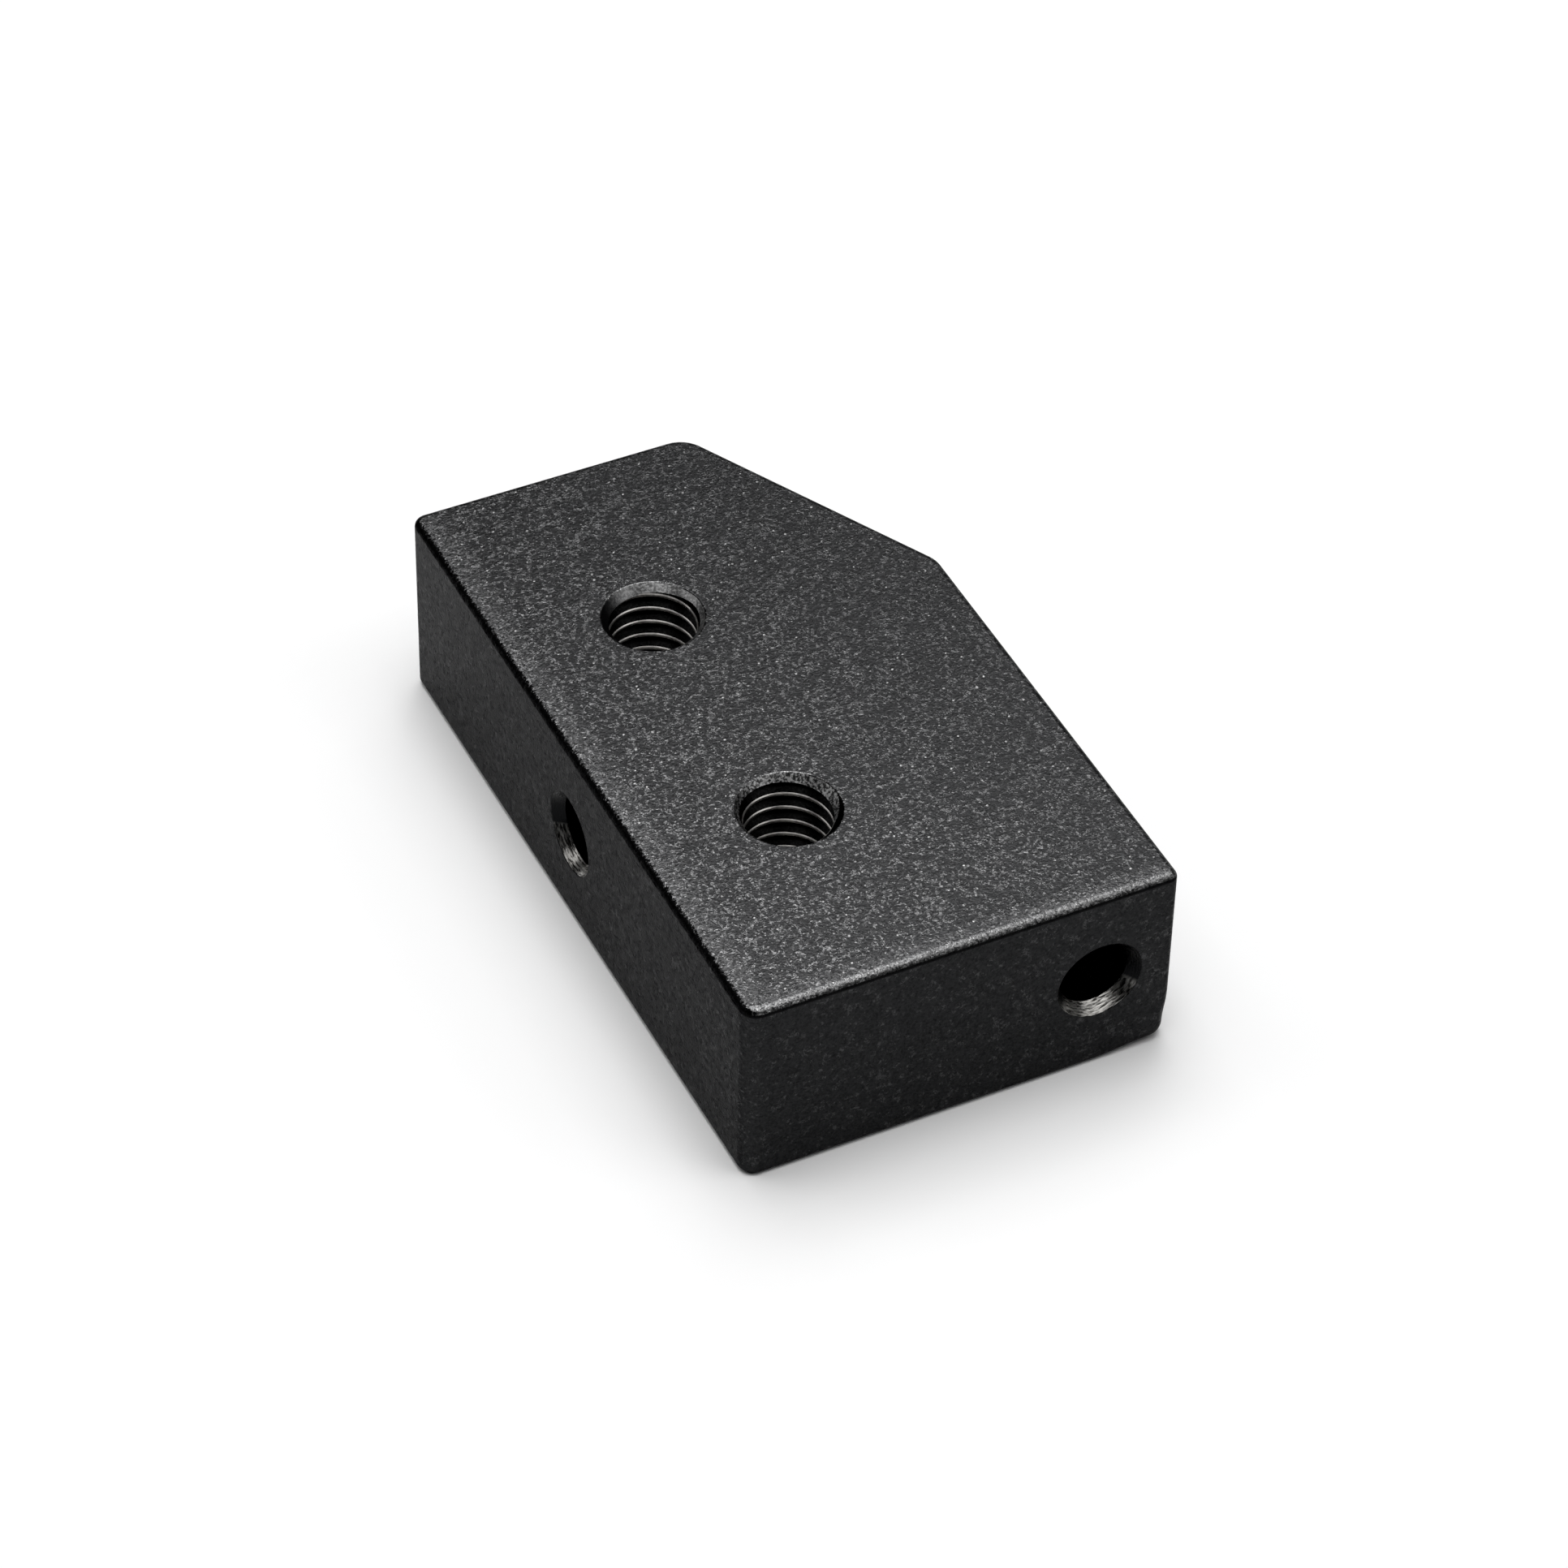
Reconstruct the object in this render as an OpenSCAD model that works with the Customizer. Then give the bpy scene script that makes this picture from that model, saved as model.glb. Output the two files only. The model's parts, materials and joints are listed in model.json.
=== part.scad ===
// Sealing bracket: one machined block with a slanted cut on one corner,
// two tapped holes through its thickness and two blind tapped holes in its sides.
// The block lies flat. X runs across it, Y along it from the front end to the
// back end, and Z up. The origin is under its middle, on the bottom face.

/* [Block] */
// Width across the block, from the long left side to the right side
body_w = 26; // [24:1:36]
// Length of the block, from the front end to the back end
body_l = 45; // [42:1:70]
// Thickness of the block
body_t = 12.5; // [8:0.5:20]

/* [Slanted cut] */
// Width that the cut takes off the back end
cut_across = 8.5; // [5:0.5:11]
// Length that the cut takes off the right side
cut_along = 16; // [8:0.5:20]

/* [Edges] */
// Radius of the rounded edges round the top and bottom faces
edge_r = 0.5; // [0.2:0.1:0.6]
// Radius of the upright corner at the front left
front_left_r = 1; // [0.6:0.1:3]
// Radius of the upright corner at the front right
front_right_r = 0.6; // [0.6:0.1:3]
// Radius of the upright corner at the back left
back_left_r = 0.8; // [0.6:0.1:3]
// Radius of the two upright corners at the ends of the slanted cut
cut_corner_r = 1.5; // [0.6:0.1:3]

/* [Through holes] */
// Bore of the two through holes, drilled for a 6 mm thread of 1 mm pitch
through_d = 5; // [4.2:0.1:6]
// Diameter of the chamfer at each mouth of a through hole
through_mouth_d = 6.1; // [5.2:0.1:8]
// Distance of the through holes from the left side
through_from_left = 9; // [6:0.5:14]
// Distance of the front through hole from the front end
through_from_front = 13.5; // [8:0.5:14]
// Distance between the two through holes
through_spacing = 17.6; // [17:0.1:20]

/* [Side hole] */
// Distance of the side hole from the front end
side_from_front = 22.8; // [22:0.1:24]
// Depth of the side hole to the shoulder of its drill point
side_depth = 12; // [6:0.5:14]
// Diameter of the countersink at the mouth of the side hole
side_mouth_d = 5.1; // [5:0.1:6]
// Depth of that countersink
side_mouth_depth = 0.7; // [0.4:0.1:1.2]

/* [End hole] */
// Distance of the end hole from the right side
end_from_right = 4.6; // [4.4:0.1:6]
// Depth of the end hole to the shoulder of its drill point
end_depth = 15; // [6:0.5:20]
// Diameter of the countersink at the mouth of the end hole
end_mouth_d = 5.2; // [5:0.1:6]
// Depth of that countersink
end_mouth_depth = 0.8; // [0.4:0.1:1.2]

/* [Blind tapping] */
// Bore of the side and end holes, drilled for a 5 mm thread of 0.8 mm pitch
blind_d = 4.2; // [3.3:0.1:4.8]
// Included angle of the drill point at the bottom of a blind hole
drill_point_angle = 118; // [90:1:140]

/* [Hidden] */
$fn = 96;
// How far a cutter reaches past the face that it opens
over = 1;
// How far a cut reaches out past the side that it leaves
reach = body_w;
// How far the cut along a side runs on into the corners at its ends
lap = 0.05;
// How far a corner's arc stands out before the cuts along its two sides trim it to clean edges
arc_proud = 0.000100;
half_w = body_w / 2;
half_l = body_l / 2;
mid_t = body_t / 2;
through_mouth_depth = (through_mouth_d - through_d) / 2;

// Corners of the plan, counter-clockwise from the front left: x, y and corner radius
corners = [
    [-half_w, -half_l, front_left_r],
    [half_w, -half_l, front_right_r],
    [half_w, half_l - cut_along, cut_corner_r],
    [half_w - cut_across, half_l, cut_corner_r],
    [-half_w, half_l, back_left_r]
];
corner_count = len(corners);

function point(i) = let (c = corners[(i + corner_count) % corner_count]) [c[0], c[1]];
function radius(i) = corners[(i + corner_count) % corner_count][2];
function unit(v) = v / norm(v);
// Direction of the side that runs from corner i to the next one, and its outward normal's angle
function along(i) = unit(point(i + 1) - point(i));
function facing(i) = let (d = along(i)) atan2(-d[0], d[1]);
// Angle that a side turns through at corner i
function turn(i) = let (a = along(i - 1), b = along(i)) acos(a * b);
// Length of straight side that the rounding at corner i takes up
function setback(i) = radius(i) * tan(turn(i) / 2);
function arc_start(i) = point(i) - along(i - 1) * setback(i);
function arc_end(i) = point(i) + along(i) * setback(i);
function inward(i) = let (d = along(i)) [-d[1], d[0]];
function arc_centre(i) = arc_end(i) + inward(i) * radius(i);

// Section of what is milled off a side: all that lies outside its face and its two rounded edges
module side_section() {
    difference() {
        translate([-edge_r, -over]) square([edge_r + reach, body_t + 2 * over]);
        translate([-edge_r, edge_r]) square([edge_r, body_t - 2 * edge_r]);
        for (y = [edge_r, body_t - edge_r])
            translate([-edge_r, y]) circle(r = edge_r);
    }
}

// Cut along the straight side that runs from corner i to the next one
module side_cut(i) {
    side_start = arc_end(i) - along(i) * lap;
    side_end = arc_start(i + 1) + along(i) * lap;
    translate([side_end[0], side_end[1], 0])
        rotate([90, 0, facing(i)])
            linear_extrude(height = norm(side_end - side_start))
                side_section();
}

// Cut round the upright rounding at corner i
module corner_cut(i) {
    translate([arc_centre(i)[0], arc_centre(i)[1], 0])
        rotate([0, 0, facing(i) - turn(i)])
            rotate_extrude(angle = turn(i))
                translate([radius(i) + arc_proud, 0])
                    side_section();
}

// Bar of stock, milled to its outline with all its long edges rounded
module rounded_block() {
    difference() {
        translate([-half_w - over, -half_l - over, 0])
            cube([body_w + 2 * over, body_l + 2 * over, body_t]);
        for (i = [0 : corner_count - 1]) {
            side_cut(i);
            corner_cut(i);
        }
    }
}

// Upright bore with a 45 degree chamfer at both faces of the block
module through_hole() {
    for (side = [0, 1])
        translate([0, 0, side * body_t])
            mirror([0, 0, side])
                chamfer_cone(through_d, through_mouth_d, through_mouth_depth);
    translate([0, 0, -over]) cylinder(d = through_d, h = body_t + 2 * over);
}

// Cone that opens a bore at z = 0, carried on past the face at the same slope
module chamfer_cone(bore_d, mouth_d, depth) {
    growth = (mouth_d - bore_d) / 2 / depth;
    translate([0, 0, -over])
        cylinder(r1 = mouth_d / 2 + over * growth, r2 = bore_d / 2, h = depth + over);
}

// Bore that goes down from z = 0, with a countersunk mouth and a drill point
module blind_hole(depth, mouth_d, mouth_depth) {
    point_h = blind_d / 2 / tan(drill_point_angle / 2);
    mirror([0, 0, 1]) {
        chamfer_cone(blind_d, mouth_d, mouth_depth);
        translate([0, 0, -over]) cylinder(d = blind_d, h = depth + over);
        translate([0, 0, depth]) cylinder(d1 = blind_d, d2 = 0, h = point_h);
    }
}

module bracket_block() {
    color([0.17, 0.17, 0.18])
    difference() {
        rounded_block();
        for (step = [0, 1])
            translate([through_from_left - half_w, through_from_front + step * through_spacing - half_l, 0])
                through_hole();
        translate([-half_w, side_from_front - half_l, mid_t])
            rotate([0, -90, 0])
                blind_hole(side_depth, side_mouth_d, side_mouth_depth);
        translate([half_w - end_from_right, -half_l, mid_t])
            rotate([90, 0, 0])
                blind_hole(end_depth, end_mouth_d, end_mouth_depth);
    }
}

bracket_block();
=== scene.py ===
# %% [markdown]
# A sealing bracket: one small block of aluminium, milled, drilled, tapped, bead-blasted and dyed black.
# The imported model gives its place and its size. This lesson makes the surface that the eye sees: the
# rounded edges, the chamfered mouths, the real helical threads and the fine grain of the blasting.

# %% Load the frame
import json
import math

import bmesh
import bpy
from mathutils import Matrix, Vector


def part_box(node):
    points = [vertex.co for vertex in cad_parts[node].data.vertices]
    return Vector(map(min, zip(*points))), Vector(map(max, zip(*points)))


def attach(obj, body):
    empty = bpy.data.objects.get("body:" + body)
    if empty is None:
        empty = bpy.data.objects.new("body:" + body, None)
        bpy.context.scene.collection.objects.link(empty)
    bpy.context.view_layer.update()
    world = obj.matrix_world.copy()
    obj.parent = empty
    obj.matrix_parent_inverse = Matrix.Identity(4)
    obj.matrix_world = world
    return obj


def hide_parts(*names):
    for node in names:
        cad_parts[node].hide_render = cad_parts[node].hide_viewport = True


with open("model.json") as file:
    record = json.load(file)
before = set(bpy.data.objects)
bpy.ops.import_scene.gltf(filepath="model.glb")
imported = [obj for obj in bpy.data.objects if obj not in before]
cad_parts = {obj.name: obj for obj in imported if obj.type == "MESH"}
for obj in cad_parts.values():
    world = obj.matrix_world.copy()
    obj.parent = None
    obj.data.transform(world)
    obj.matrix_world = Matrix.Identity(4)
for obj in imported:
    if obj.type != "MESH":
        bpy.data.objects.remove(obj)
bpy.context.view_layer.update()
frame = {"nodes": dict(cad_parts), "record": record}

print("frame nodes:", sorted(frame["nodes"]))

# %% [markdown]
# The block is modelled in millimetres, because a boolean cut on a thread wants numbers near 1, and it is
# scaled to metres in one step at the end. Its size comes from the frame's box, and the places of the
# holes come from the record's mounts, so nothing here can drift from the solid.

# %% Sizes in millimetres
MM = 0.001
NODE = "bracket_block"
low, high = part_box(NODE)
half_w = high.x / MM
half_l = high.y / MM
thickness = high.z / MM
mounts = {mount["name"]: mount for mount in frame["record"]["mounts"]}


def mount_place(name):
    """Place of a mount on its axis, in millimetres."""
    return Vector(mounts[name]["pos_m"]) / MM


print(f"block {2 * half_w:.2f} x {2 * half_l:.2f} x {thickness:.2f} mm, its bottom at {low.z / MM:.2f}")
print("mounts:", sorted(mounts))

# %% [markdown]
# Seen from above, the block is a rectangle with one corner cut off at a slant, and the cutter that milled
# it left each upright corner round. The outline could be drawn as a curve, but a list of corners and radii
# is closer to a maker's drawing: each straight side runs between two arcs, so the centre of an arc follows
# from its radius and from the directions of the two sides.

# %% Corners of the outline
CUT_ACROSS = 8.5
CUT_ALONG = 16.0
corners = [
    (-half_w, -half_l, 1.0),
    (half_w, -half_l, 0.6),
    (half_w, half_l - CUT_ALONG, 2.0),
    (half_w - CUT_ACROSS, half_l, 2.0),
    (-half_w, half_l, 0.8),
]


def side_direction(i):
    """Direction of the side that runs from corner i to the next one."""
    start = Vector(corners[i % len(corners)][:2])
    end = Vector(corners[(i + 1) % len(corners)][:2])
    return (end - start).normalized()


for i, (x, y, radius) in enumerate(corners):
    turn = side_direction(i - 1).angle(side_direction(i))
    print(f"corner {i} at {x:.1f}, {y:.1f}: radius {radius} mm, turn {math.degrees(turn):.1f} degrees")

# %% [markdown]
# One corner is different. At the front right the foot of the block is rounder than its top: the bottom
# edge swells there, and the upright corner grows with it close to the floor. A fade that starts and ends
# level blends the extra radius into the plain corner above it and into the plain edges beside it. It runs
# out faster upwards than sideways.

# %% Foot of the front right corner
EDGE_RADIUS = 0.5
FOOT_CORNER = 1
FOOT_EXTRA = 0.45
FOOT_REACH = 3.5
FOOT_CLIMB = 1.4
FOOT_PLACES = (0.5, 1.0, 1.5, 2.0, 2.6, 3.2, 4.0)


def fade(distance):
    """Falls smoothly from 1 at no distance to 0 at FOOT_REACH."""
    share = min(max(distance / FOOT_REACH, 0.0), 1.0)
    return (1 - share) ** 2 * (1 + 2 * share)


def corner_radius(i, height):
    """Radius of an upright corner at some height above the floor."""
    radius = corners[i][2]
    if i == FOOT_CORNER:
        above_edge = max(height - EDGE_RADIUS - FOOT_EXTRA, 0)
        radius += FOOT_EXTRA * fade(FOOT_CLIMB * above_edge)
    return radius


for height in (0, 2, thickness):
    print(f"front right corner at {height:.1f} mm: radius {corner_radius(FOOT_CORNER, height):.2f} mm")

# %% Places round the outline
ARC_STEPS = 16


def corner_arc(i, height):
    """Points and outward normals round one corner, counter-clockwise."""
    before, after = side_direction(i - 1), side_direction(i)
    radius = corner_radius(i, height)
    turn = before.angle(after)
    setback = radius * math.tan(turn / 2)
    normal = Vector((before.y, -before.x))
    centre = Vector(corners[i][:2]) - before * setback - normal * radius
    first = math.atan2(normal.y, normal.x)
    arc = []
    for step in range(ARC_STEPS + 1):
        angle = first + turn * step / ARC_STEPS
        out = Vector((math.cos(angle), math.sin(angle)))
        arc.append((centre + out * radius, out))
    return arc


def foot_places(arc, before, after):
    """The arc of the foot corner with places on the sides next to it, where its edge radius fades."""
    (start, start_out), (end, end_out) = arc[0], arc[-1]
    lead = [(start - before * d, start_out, EDGE_RADIUS + FOOT_EXTRA * fade(d))
            for d in reversed(FOOT_PLACES)]
    middle = [(point, out, EDGE_RADIUS + FOOT_EXTRA) for point, out in arc]
    trail = [(end + after * d, end_out, EDGE_RADIUS + FOOT_EXTRA * fade(d)) for d in FOOT_PLACES]
    return lead + middle + trail


def outline_places(height):
    """Point, outward normal and radius of the bottom edge at each place round the outline."""
    places = []
    for i in range(len(corners)):
        arc = corner_arc(i, height)
        if i == FOOT_CORNER:
            places += foot_places(arc, side_direction(i - 1), side_direction(i))
        else:
            places += [(point, out, EDGE_RADIUS) for point, out in arc]
    return places


print("points round the outline:", len(outline_places(0)))

# %% [markdown]
# Blasting and tumbling leave every long edge softly rounded. A cube with a Bevel modifier could do that,
# but it would treat all edges alike, and the foot corner needs its own radius. So rings at rising heights
# are stitched into one closed skin, and at the bottom and the top they follow a quarter circle.

# %% Closed mesh from rings of points
def mesh_from_rings(name, rings):
    """Closed mesh from rings of points, each with as many points, capped at both ends."""
    shape = bmesh.new()
    levels = [[shape.verts.new(point) for point in ring] for ring in rings]
    count = len(rings[0])
    for lower, upper in zip(levels, levels[1:]):
        for k in range(count):
            after = (k + 1) % count
            shape.faces.new((lower[k], lower[after], upper[after], upper[k]))
    shape.faces.new(list(reversed(levels[0])))
    shape.faces.new(levels[-1])
    bmesh.ops.recalc_face_normals(shape, faces=shape.faces)
    mesh = bpy.data.meshes.new(name)
    shape.to_mesh(mesh)
    shape.free()
    return mesh


# %% Skin of the block
EDGE_STEPS = 12
QUARTER = [math.pi / 2 * step / EDGE_STEPS for step in range(EDGE_STEPS + 1)]
SIDE_HEIGHTS = (1.1, 1.4, 1.7, 2.0, 2.3, 2.7, 3.1, 3.6)


def bottom_ring(angle):
    """Ring at some angle of the bottom edge's quarter circle, from 0 at the bottom face."""
    ring = []
    for point, out, radius in outline_places(0):
        place = point - out * radius * (1 - math.sin(angle))
        ring.append((place.x, place.y, radius * (1 - math.cos(angle))))
    return ring


def side_ring(height, inset=0.0):
    """Flat ring at some height, set in by inset."""
    return [(point.x - out.x * inset, point.y - out.y * inset, height)
            for point, out, _ in outline_places(height)]


def top_ring(angle):
    """Ring at some angle of the top edge's quarter circle, from 0 at the top face."""
    return side_ring(thickness - EDGE_RADIUS * (1 - math.cos(angle)), EDGE_RADIUS * (1 - math.sin(angle)))


block_rings = [bottom_ring(angle) for angle in QUARTER]
block_rings += [side_ring(height) for height in SIDE_HEIGHTS]
block_rings += [top_ring(angle) for angle in reversed(QUARTER)]
block_mesh = mesh_from_rings("block_skin", block_rings)
print("block skin:", len(block_rings), "rings,", len(block_mesh.polygons), "faces")

# %% [markdown]
# A material is a tree of nodes, and so is the rule that shapes the threads further on. The same three
# calls write both: add a node, link or set one of its inputs, and do one step of arithmetic.

# %% Writer of node trees
class NodeWriter:
    """Writes nodes into a tree."""

    def __init__(self, tree):
        self.tree = tree

    def feed(self, socket, value):
        """Links a socket to another, or sets its plain value."""
        if isinstance(value, bpy.types.NodeSocket):
            self.tree.links.new(value, socket)
        else:
            socket.default_value = value

    def node(self, kind, **inputs):
        """Node of a kind, with inputs given by name as plain values or as other nodes' sockets."""
        node = self.tree.nodes.new(kind)
        for name, value in inputs.items():
            self.feed(node.inputs[name.replace("_", " ")], value)
        return node

    def math(self, operation, first, second=0.0):
        """One step of arithmetic."""
        node = self.node("ShaderNodeMath")
        node.operation = operation
        self.feed(node.inputs[0], first)
        self.feed(node.inputs[1], second)
        return node.outputs[0]


# %% Writer of finishes
MIX_COLOUR_INPUTS = (6, 7)
MIX_COLOUR_OUTPUT = 2
NOISE_SPAN = (0.3, 0.7)


class Finish(NodeWriter):
    """Material of one metal finish. Its patterns read the Object coordinates, which are metres here."""

    def __init__(self, name):
        self.material = bpy.data.materials.new(name)
        self.material.use_nodes = True
        super().__init__(self.material.node_tree)
        self.shader = self.tree.nodes["Principled BSDF"]
        self.place = self.node("ShaderNodeTexCoord").outputs["Object"]

    def noise(self, scale, detail=2.0, roughness=0.6, distortion=0.0, place=None):
        """Noise pattern whose cells are about one over scale metres wide."""
        node = self.node("ShaderNodeTexNoise", Vector=self.place if place is None else place, Scale=scale,
                         Detail=detail, Roughness=roughness, Distortion=distortion)
        return node.outputs["Fac"]

    def remap(self, value, start, end, low=0.0, high=1.0):
        """Goes from low to high as a value goes from start to end, and holds beyond them."""
        node = self.node("ShaderNodeMapRange", Value=value, From_Min=start, From_Max=end,
                         To_Min=low, To_Max=high)
        return node.outputs["Result"]

    def both(self, first, second):
        """Pattern that is 1 only where two patterns are."""
        return self.math("MULTIPLY", first, second)

    def mix(self, factor, first, second):
        """Mixes two colours by a pattern. A colour is three numbers, or what came before."""
        node = self.node("ShaderNodeMix")
        node.data_type = "RGBA"
        self.feed(node.inputs[0], factor)
        for index, colour in zip(MIX_COLOUR_INPUTS, (first, second)):
            plain = not isinstance(colour, bpy.types.NodeSocket)
            self.feed(node.inputs[index], (*colour, 1) if plain else colour)
        return node.outputs[MIX_COLOUR_OUTPUT]

    def bump(self, height, distance, strength=1.0):
        """Bump node of a height pattern, distance in metres."""
        return self.node("ShaderNodeBump", Height=height, Distance=distance, Strength=strength)

    def split(self, vector):
        """Parts of a vector, by the names of their axes."""
        return self.node("ShaderNodeSeparateXYZ", Vector=vector).outputs

    def done(self, colour, roughness, bump):
        """Feeds the metal's shader and gives the material."""
        self.shader.inputs["Metallic"].default_value = 1.0
        self.feed(self.shader.inputs["Base Color"], colour)
        self.feed(self.shader.inputs["Roughness"], roughness)
        self.feed(self.shader.inputs["Normal"], bump.outputs["Normal"])
        return self.material


# %% [markdown]
# Bead blasting leaves countless small dimples and short ridges that curl like worms, and the dye turns the
# skin black. To the light it is a dark metal: it has hardly any colour of its own, and the grey that one
# sees is gloss. All of the grain could be bump, but that looked like cracked leather. So most of it is a
# change of colour, with painted shade in the pits, painted light on the rises and painted glints on the
# worms and specks, and the bump is only a few hundredths of a millimetre high. A worm is a thin line along
# which a noise passes its middle value, and a second noise breaks it into short pieces.

# %% Grain of the blasting
GRAIN_SCALE = 2600
PIT_SCALE = 7000
CURL_SCALE = 5400
CURL_WIDTH = 0.10
BREAK_SCALE = 4200
BREAK_SPAN = (0.50, 0.56)
PATCH_SCALE = 2200
PATCH_SPAN = (0.46, 0.58)
SPECK_SCALE = 1500
SPECK_SPAN = (0.08, 0.14)


def worm_pattern(finish):
    """Short curled ridges: 1 on a ridge, 0 beside it."""
    curls = finish.noise(CURL_SCALE, detail=1.0, roughness=0.5, distortion=1.0)
    away = finish.math("ABSOLUTE", finish.math("SUBTRACT", curls, 0.5))
    lines = finish.remap(away, 0.0, CURL_WIDTH, 1.0, 0.0)
    breaks = finish.noise(BREAK_SCALE, detail=1.0, roughness=0.5)
    return finish.both(lines, finish.remap(breaks, *BREAK_SPAN))


def patch_pattern(finish):
    """Patches of the flanks where the worms show as painted glints."""
    return finish.remap(finish.noise(PATCH_SCALE, detail=1.0, roughness=0.5), *PATCH_SPAN)


def speck_pattern(finish):
    """Single bright points, one in the middle of each cell, for painted glints."""
    cells = finish.node("ShaderNodeTexVoronoi", Vector=finish.place, Scale=SPECK_SCALE)
    return finish.remap(cells.outputs["Distance"], *SPECK_SPAN, 1.0, 0.0)


print(f"worms about {1000 / CURL_SCALE:.2f} mm and specks about {1000 / SPECK_SCALE:.2f} mm apart")

# %% [markdown]
# Bands of painted light and shade lie along the edges. The front edge of the top has a painted highlight,
# and a painted sheen makes the top a little brighter along its front and its left. Painted shade gives the
# left edge a dark line, and the foot of the rounding all round as well. The limits of these bands wobble
# with the pits, which gives the beaded look of a blasted edge. A band is found by its depth below the top
# face and by the way that the surface faces.

# %% Painted light and shade along the edges
# Depths below the top face of the top skin, of the painted shade lines and where they end; reaches of the
# painted sheen margins; facings and wobbles of the painted front highlight and left shade line
TOP_SKIN = (0.34, 0.22)
LEFT_SHADE_LINE = (0.36, 0.28)
SHADE_BELOW_ROUNDING = (0.50, 0.42)
LINE_ENDS = (0.30, 0.22)
SHEEN_MARGIN_LEFT = (0.5, 2.2)
SHEEN_MARGIN_FRONT = (0.4, 1.6)
FACING_LEFT = (-0.45, -0.25)
FACING_FRONT = (-0.30, -0.10)
WOBBLE_LEFT = 0.5
WOBBLE_FRONT = 0.4


def painted_edge_bands(finish, pits):
    """Masks of the top skin, the painted highlight of the front edge, the painted shade lines and the
    painted sheen of the margins.
    """
    place = finish.split(finish.place)
    facing = finish.split(finish.node("ShaderNodeNewGeometry").outputs["Normal"])
    wobble = finish.remap(pits, *NOISE_SPAN, -0.5, 0.5)

    def below_top(depths, low=0.0, high=1.0):
        """Goes from low to high between two depths below the top face."""
        start, end = ((thickness - depth) * MM for depth in depths)
        return finish.remap(place["Z"], start, end, low, high)

    def turned_to(axis, strength, limits):
        """1 where the surface faces down an axis, with limits that wobble."""
        uneven = finish.math("ADD", facing[axis], finish.math("MULTIPLY", wobble, strength))
        return finish.remap(uneven, *limits, 1.0, 0.0)

    def near(axis, side, distances):
        """Falls from 1 to 0 between two distances from a side."""
        start, end = ((side + distance) * MM for distance in distances)
        return finish.remap(place[axis], start, end, 1.0, 0.0)

    top = below_top(TOP_SKIN)
    # Painted highlight on the top rounding where it faces the front
    front_highlight = finish.both(top, turned_to("Y", WOBBLE_FRONT, FACING_FRONT))
    # Painted shade: a dark line at the foot of the top rounding all round, and along the left edge
    foot_shade = finish.both(below_top(SHADE_BELOW_ROUNDING), below_top(LINE_ENDS, 1.0, 0.0))
    left_shade = finish.both(below_top(LEFT_SHADE_LINE), turned_to("X", WOBBLE_LEFT, FACING_LEFT))
    dark = finish.math("MAXIMUM", foot_shade, left_shade)
    # Painted sheen along the top's front and left margins
    sheen_margin = finish.math("MAXIMUM", near("X", -half_w, SHEEN_MARGIN_LEFT), near("Y", -half_l, SHEEN_MARGIN_FRONT))
    return top, front_highlight, dark, sheen_margin


print(f"top skin down to {TOP_SKIN[0]} mm, rubbed up to {SHEEN_MARGIN_LEFT[1]} mm from the left")

# %% [markdown]
# The colours are mixed from the ground up: the painted shade of the pits and the painted light of the rises
# first, then the painted glints of worms and specks, then the painted light and shade of the edges. A
# painted sheen makes the top brighter than the flanks, and brighter still towards its front left corner, so
# its greys run from back to front. The flanks are darker, and a tint for grazing light gives them their own
# faint clouds and painted glints.

# %% Colours of the blasted skin
# Greys of the top: painted shade in the pits, painted light on the rises, and a painted sheen that makes the
# front ones brighter
PIT_BACK = (0.035, 0.0352, 0.0362)
PIT_FRONT = (0.040, 0.0402, 0.0414)
RISE_BACK = (0.050, 0.0502, 0.0515)
RISE_FRONT = (0.062, 0.0622, 0.0634)
# Painted glints of the worms, dimmer at the back and brighter at the front
GLINT_BACK = (0.105, 0.105, 0.107)
GLINT_FRONT = (0.36, 0.36, 0.364)
# Painted sheen of the top's front and left margins
MARGIN_SHEEN = (0.13, 0.13, 0.132)
# Painted glint of the specks
SPECK_GLINT = (0.52, 0.52, 0.52)
# Greys of the flanks: painted shade in the pits and painted light on the rises
FLANK_PIT = (0.0125, 0.0127, 0.0132)
FLANK_RISE = (0.0215, 0.0217, 0.0223)
# Painted glints of the worms on the flanks
FLANK_GLINT = (0.056, 0.056, 0.057)
# Painted highlight of the front edge
FRONT_HIGHLIGHT = (0.22, 0.22, 0.22)
# Painted shade of the dark lines
SHADE_LINE = (0.004, 0.004, 0.0042)
# Tints for grazing light: faint clouds, and painted glints on the flank worms
GRAZING_LOW = (0.45, 0.45, 0.45)
GRAZING_HIGH = (0.53, 0.53, 0.53)
GRAZING_GLINT = (0.66, 0.66, 0.66)
SHEEN_GRADIENT_SPAN = (-0.9, 0.9)


def sheen_gradient_pattern(finish):
    """Painted sheen that rises over the block from the back right, where the sum of its shares is -1, to the
    front left.
    """
    across = finish.node("ShaderNodeVectorMath")
    across.operation = "DOT_PRODUCT"
    across.inputs[1].default_value = (-0.5 / half_w / MM, -0.5 / half_l / MM, 0)
    finish.feed(across.inputs[0], finish.place)
    return finish.remap(across.outputs["Value"], *SHEEN_GRADIENT_SPAN)


print("darkest and brightest grey of the skin:", SHADE_LINE[0], SPECK_GLINT[0])


# %% Blasted and dyed finish
PIT_SPAN = (0.35, 0.6)
CLOUD_SPAN = (0.40, 0.60)
WORM_HEIGHT = 0.00001
PIT_DEPTH = 0.00003
BLASTED_ROUGHNESS = (0.26, 0.31)


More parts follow.
